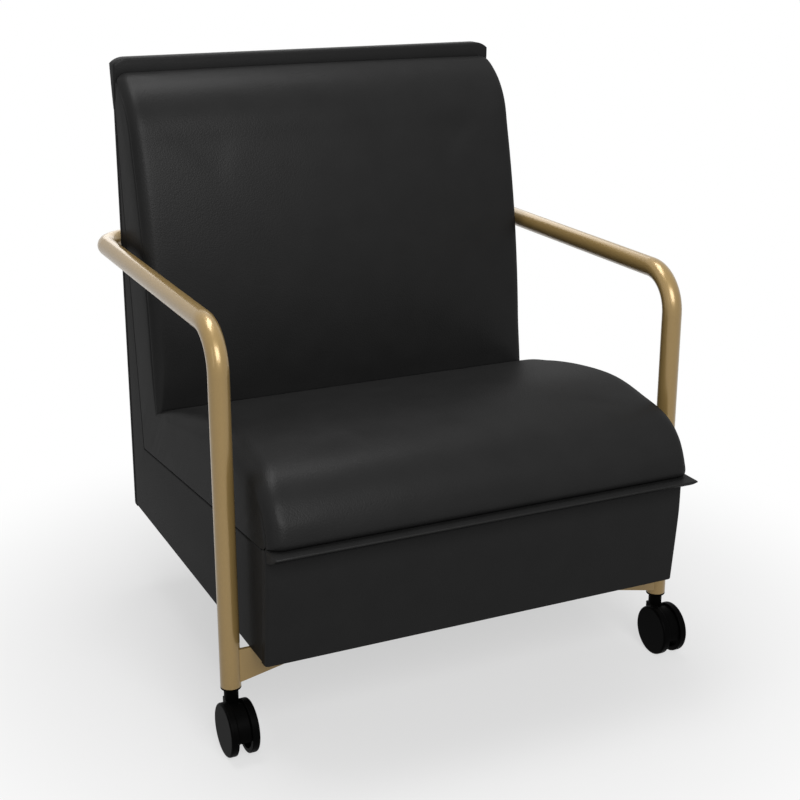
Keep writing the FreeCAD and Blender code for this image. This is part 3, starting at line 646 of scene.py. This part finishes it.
def seat_cushion(material):
    """Seat cushion: flat sides flush with the shell that round into the top, and a bullnose front."""
    toe = (apron_y - seat_overhang + nose_tuck, lip_top + cushion_gap)
    belly = (apron_y - seat_overhang, toe[1] + nose_tuck_height)
    crest = (apron_y + seat_crest_setback, seat_crest_height)
    brow = (apron_y + seat_brow_setback, seat_crest_height - seat_brow_drop)
    upper = eased(arc(belly, brow, seat_nose_bow, row_step) + arc(brow, crest, seat_brow_bow, row_step)
                  + arc(crest, crease, seat_top_bow, row_step) + [crease], brow_easing)
    faces = eased(arc(toe, belly, nose_tuck_bow, tuck_row_step) + upper, line_easing)
    shares = shares_of(faces)
    rounds = [between(s, seat_round_stops) for s in shares]
    # The sides stay level at the tuck, so they don't lift off the lip
    level = Vector((-1, 0))
    normals = mitred([n if n.y > 0 else level for n in outward(faces)], -1)
    first_edge = Vector(faces[0]) - normals[0] * rounds[0]
    bend_y = apron_y + seam_bend
    feet = along_line([tuple(first_edge), (bend_y, seat_seam(bend_y)), heel], shares)
    grooves = [cheek_depth * between(s, cheek_stops) for s in shares]
    crowns = [seat_crown_at(s) for s in shares]
    rings = cushion_rings(faces, normals, feet, rounds, crowns, grooves, 0)
    built, made = rings_to_mesh(rings, False, False)
    close_mitre(built, made[-1])
    sharpen(built, made[-1])
    bmesh.ops.remove_doubles(built, verts=built.verts, dist=weld_distance)
    piece = new_piece("seat_cushion", built, material)
    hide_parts("seat_cover", "seat_foam")
    hold(piece, [sewn_weight(v.co, seat_seam_distance(v.co)) for v in piece.data.vertices])
    finish_cushion(piece, swell)


def sharpen(built, ring):
    """Keeps the edges of a ring crisp under subdivision."""
    layer = built.edges.layers.float.get("crease_edge") or built.edges.layers.float.new("crease_edge")
    for a, b in zip(ring, ring[1:] + ring[:1]):
        edge = built.edges.get((a, b))
        if edge:
            edge[layer] = 1.0


def mitre_distance(co):
    """How far a point lies from the plane where the two cushions meet, from the crease to the heel."""
    way = Vector(heel) - Vector(crease)
    side = Vector((way.y, -way.x)).normalized()
    return abs((Vector((co.y, co.z)) - Vector(crease)).dot(side))


def seat_seam_distance(co):
    """How far a point of the seat cushion lies above its seam."""
    return co.z - seat_seam(co.y)


def sewn_weight(co, above_seam):
    """1 where a cushion is sewn down, falling to 0 where it is free to swell."""
    nearest = max(0.0, min(above_seam - seam_hold, mitre_distance(co) - mitre_hold))
    return max(0.0, 1 - nearest / sewn_reach)


def back_seam_distance(co):
    """How far a point of the back cushion lies in front of its seam."""
    share = min(1.0, (co.z - seam_corner_height) / (lip_base - seam_corner_height))
    seam = corner_y + (seam_top_y - corner_y) * share
    if co.z > lip_base:
        seam += (lip_front_y - seam_top_y) * (co.z - lip_base) / top_lip_step
    return seam - co.y


def back_cushion(material):
    """Back cushion: a face with a rolled top, and sides with a sewn boxing line and a flat panel behind."""
    lip_seat_height = lip_base + top_lip_step
    shoulder = (lip_front_y - back_shoulder_depth, lip_seat_height - back_shoulder_drop)
    roll_top = (lip_front_y - roll_tuck_depth, lip_seat_height)
    top = (lip_front_y - cushion_gap, lip_seat_height - roll_tuck)
    faces = eased(arc(crease, shoulder, back_face_bow, row_step)
                  + arc(shoulder, roll_top, back_roll_bow, row_step)
                  + arc(roll_top, top, roll_tuck_bow, tuck_row_step) + [top], line_easing)
    shares = shares_of(faces)
    rounds = [between(s, back_round_stops) for s in shares]
    normals = mitred(outward(faces), 0)
    last_edge = Vector(faces[-1]) - normals[-1] * rounds[-1]
    seam = [heel, (seam_top_y, lip_base), tuple(last_edge)]
    feet = along_line(seam, shares)
    grooves = [boxing_depth * between(s, boxing_stops) for s in shares]
    crowns = [back_crown * math.sin(math.pi * s) ** back_crown_power for s in shares]
    rings = cushion_rings(faces, normals, feet, rounds, crowns, grooves, -1)
    built, made = rings_to_mesh(rings, False, False)
    close_mitre(built, made[0])
    sharpen(built, made[0])
    bmesh.ops.remove_doubles(built, verts=built.verts, dist=weld_distance)
    piece = new_piece("back_cushion", built, material)
    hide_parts("back_cover", "back_foam")
    hold(piece, [sewn_weight(v.co, back_seam_distance(v.co)) for v in piece.data.vertices])
    finish_cushion(piece, swell)


def inset(points, distance):
    """A closed outline moved inwards by a distance, each corner along its bisector; it runs anticlockwise."""
    moved = []
    for i, point in enumerate(points):
        here = Vector(point)
        before = (here - Vector(points[i - 1])).normalized()
        after = (Vector(points[(i + 1) % len(points)]) - here).normalized()
        bisector = Vector((-before.y - after.y, before.x + after.x)).normalized()
        reach = distance / max(sharpest_corner, bisector.dot(Vector((-before.y, before.x))))
        moved.append(tuple(here + bisector * reach))
    return moved


def side_panel(name, side, material):
    """Leather side of the shell: one flat panel along the seat and up the back, rolled in at its edges."""
    heights = even_steps(body_bottom, seam_front_height, apron_side_steps)
    hidden = shell_corner + panel_overlap
    front = [(apron_face(z) + hidden, z) for z in heights]
    front[-1] = (front[-1][0], seat_seam(front[-1][0]))
    outline = front + [heel, (seam_top_y, lip_base), (rear_face(lip_base) - hidden, lip_base),
                       (rear_face(body_bottom) - hidden, body_bottom)]
    outline = outline[::-1]
    rings = [[(side * (half_width - panel_sink - depth), y, z) for y, z in inset(outline, distance)]
             for distance, depth in panel_edge]
    built, _ = rings_to_mesh(rings, True, True)
    piece = new_piece(name + "_side_panel", built, material)
    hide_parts(name + "_side_cover")


def wrapped_panel(name, profile, facing, top_slope, material, replaced):
    """Leather front or rear of the shell, wrapped round both corners and lapped over the side panels.

    profile is the panel's (y, z) line from the bottom up, and facing is -1 for the front, 1 for the rear.
    top_slope says how much its top edge falls per metre along the sides.
    """
    turns = quarter_turn(corner_steps)
    flat = half_width - shell_corner
    plan = [(-half_width, shell_return)]
    plan += [(-flat - shell_corner * math.cos(a), shell_corner * (1 - math.sin(a))) for a in turns]
    plan += [(x, 0.0) for x in even_steps(-flat, flat, panel_steps)[1:-1]]
    plan += [(-x, back) for x, back in reversed(plan[:1 + len(turns)])]
    hem = [(profile[0][0] - facing * hem_radius * (1 - math.cos(a)), profile[0][1] - hem_radius * math.sin(a))
           for a in turns[::-1]]
    built = bmesh.new()
    rows = []
    tops = [profile[-1][1] - top_slope * min(back, seam_bend) for _, back in plan]
    for y, z in hem[:-1] + profile:
        row = [(x, y - facing * back, min(z, top)) for (x, back), top in zip(plan, tops)]
        rows.append([built.verts.new(p) for p in row])
    for low, high in zip(rows, rows[1:]):
        for i in range(len(plan) - 1):
            built.faces.new((low[i], low[i + 1], high[i + 1], high[i]))
    piece = new_piece(name, built, material)
    thick = piece.modifiers.new("leather", "SOLIDIFY")
    thick.thickness = leather_thickness
    thick.offset = -1
    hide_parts(replaced)


def shell(material):
    """Leather covers of the outer shell."""
    side_panel("left", -1, material)
    side_panel("right", 1, material)
    low = body_bottom + hem_radius
    apron = [(apron_face(z), z) for z in even_steps(low, lip_top, panel_steps)]
    slope = (lip_top - seat_seam(apron_y + seam_bend)) / seam_bend
    wrapped_panel("front_apron", apron, -1, slope, material, "apron_cover")
    rear = [(rear_face(z), z) for z in even_steps(low, lip_base, panel_steps)]
    wrapped_panel("outer_back", rear, 1, 0.0, material, "outer_back_cover")


def front_lip(material):
    """Leather covered lip along the top of the apron: level on top, hollow beneath, with a thin round tip."""
    tip = front_lip_tip / 2
    root = (apron_y, lip_top - front_lip_root)
    under = (lip_tip_y + tip, lip_top - front_lip_tip)
    nose = [(lip_tip_y + tip - tip * math.cos(a), lip_top - tip + tip * math.sin(a))
            for a in even_steps(-math.pi / 2, math.pi / 2, lip_tip_steps)]
    outline = arc(root, under, front_lip_hollow, lip_row_step) + nose + [(apron_y, lip_top)]
    area = sum(a[0] * b[1] - b[0] * a[1] for a, b in zip(outline, outline[1:] + outline[:1]))
    outline = outline if area > 0 else outline[::-1]
    ends = [(-half_width, lip_end_round), (-half_width + lip_end_bevel, lip_end_bevel),
            (-half_width + lip_end_round, 0.0)]
    places = ends + [(x, 0.0) for x in even_steps(-half_width, half_width, panel_steps)[1:-1]]
    places += [(-x, shrink) for x, shrink in reversed(ends)]
    rings = [[(x, y, z) for y, z in inset(outline, shrink)] for x, shrink in places]
    built, _ = rings_to_mesh(rings, True, True)
    piece = new_piece("front_lip_trim", built, material)
    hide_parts("front_lip")


def top_lip(material):
    """Leather covered lip along the top of the back, flared to the rear, with rounded top corners."""
    side_steps, bend_steps, top_steps, edge_turns = 10, 8, 12, 5
    width, drop = top_lip_corner_width, top_lip_corner_drop
    radius = (width ** 2 + drop ** 2) / (2 * drop)
    bends = even_steps(math.asin(width / radius), 0.0, bend_steps)
    inner_x, bend_z = half_width - width, body_top - drop
    right = [(half_width, z) for z in even_steps(lip_base, bend_z, side_steps)[:-1]]
    right += [(inner_x + radius * math.sin(a), body_top - radius * (1 - math.cos(a))) for a in bends]
    right += [(x, body_top) for x in even_steps(inner_x, 0.0, top_steps)[1:-1]]

    def front_y(z):
        share = min(1.0, (z - lip_base) / top_lip_step)
        return seam_top_y + (lip_front_y - seam_top_y) * share

    def rear_y(z):
        share = (z - lip_base) / (body_top - lip_base)
        return rear_top_y + (lip_rear_y - rear_top_y) * share + 4 * top_lip_bulge * share * (1 - share)

    outline = right + [(0.0, body_top)] + [(-x, z) for x, z in reversed(right)]
    edge = [(top_lip_edge * (1 - math.sin(a)), top_lip_edge * (1 - math.cos(a)))
            for a in quarter_turn(edge_turns)]
    rings = [[(x, front_y(z) + depth, z) for x, z in inset(outline, shrink)]
             for shrink, depth in edge]
    rings += [[(x, rear_y(z) - depth, z) for x, z in inset(outline, shrink)]
              for shrink, depth in reversed(edge)]
    built, made = rings_to_mesh(rings, False, False)
    for ring in (made[0], made[-1]):
        for i in range(len(ring) // 2):
            four = (ring[i], ring[i + 1], ring[-2 - i], ring[-1 - i])
            if len(set(four)) == 4:
                built.faces.new(four)
            elif len(set(four)) == 3:
                built.faces.new(tuple(dict.fromkeys(four)))
    piece = new_piece("top_lip_trim", built, material)
    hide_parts("top_lip")


def dress_nodes(finishes):
    """Gives each CAD node the finish of its material slot."""
    for entry in frame["record"]["subparts"]:
        node = nodes[entry["node"]]
        node.data.materials.clear()
        node.data.materials.append(finishes[entry["material_slot"]])


def softbox(name, place, aim, width, height, power):
    """Soft rectangular studio lamp that points at a place on the chair."""
    lamp = bpy.data.lights.new(name, "AREA")
    lamp.shape = "RECTANGLE"
    lamp.size, lamp.size_y = width, height
    lamp.energy = power
    holder = bpy.data.objects.new(name, lamp)
    holder.location = place
    holder.rotation_euler = (Vector(aim) - Vector(place)).to_track_quat("-Z", "Y").to_euler()
    scene.collection.objects.link(holder)


def studio():
    """White sweep, soft lamps and a plain bright room."""
    sweep_radius = 30
    built = bmesh.new()
    bmesh.ops.create_circle(built, cap_ends=True, segments=64, radius=sweep_radius)
    mesh = bpy.data.meshes.new("studio_floor")
    built.to_mesh(mesh)
    built.free()
    mesh.materials.append(studio_floor())
    floor = bpy.data.objects.new("studio_floor", mesh)
    scene.collection.objects.link(floor)

    world = bpy.data.worlds.new("white_room")
    scene.world = world
    world.use_nodes = True
    tree = world.node_tree
    tree.nodes.clear()
    seen = background_rays(tree, add_node(tree, "LightPath").outputs)
    room_level, backdrop_level = 0.18, 1.0
    room = add_node(tree, "Background", {"Color": linear("#ffffff"), "Strength": room_level})
    backdrop = add_node(tree, "Background", {"Color": linear("#ffffff"), "Strength": backdrop_level})
    mixed = add_node(tree, "MixShader", {0: seen, 1: room.outputs[0], 2: backdrop.outputs[0]})
    add_node(tree, "OutputWorld", {"Surface": mixed.outputs["Shader"]})

    chest = (0, 0, 0.45)
    softbox("overhead_softbox", (-0.2, 0.3, 2.9), chest, 1.8, 0.9, 50)
    softbox("front_softbox", (-0.5, -2.9, 2.2), chest, 2.0, 1.6, 94)
    softbox("rear_softbox", (0.8, 3.0, 1.8), chest, 2.0, 1.6, 16)
    softbox("left_strip_softbox", (-2.4, -1.5, 1.3), chest, 0.3, 1.4, 3)


def photo_camera():
    """Camera at the photograph's place: in front, a little to the left and above."""
    lens = bpy.data.cameras.new("photo_camera")
    lens.sensor_width = camera_sensor
    lens.lens = camera_lens
    holder = bpy.data.objects.new("photo_camera", lens)
    holder.location = camera_place
    holder.rotation_euler = (math.radians(90 - camera_dip), 0, math.radians(camera_turn))
    scene.collection.objects.link(holder)
    scene.camera = holder


def main():
    """Sets the studio up, dresses the frame and makes the upholstery."""
    scene.view_settings.view_transform = "Standard"
    photo_camera()
    studio()
    hide = leather()
    # The foam never shows: the leather cushions replace it
    dress_nodes({
        "leather": hide, "foam": hide, "gold_tube": gold_coat(), "wood": sanded_birch(), "webbing": webbing(),
        "dust_cloth": dust_cloth(), "steel": zinc_steel(), "black_metal": black_coat(),
        "black_plastic": moulded_black(),
    })
    seat_cushion(hide)
    back_cushion(hide)
    shell(hide)
    front_lip(hide)
    top_lip(hide)


main()
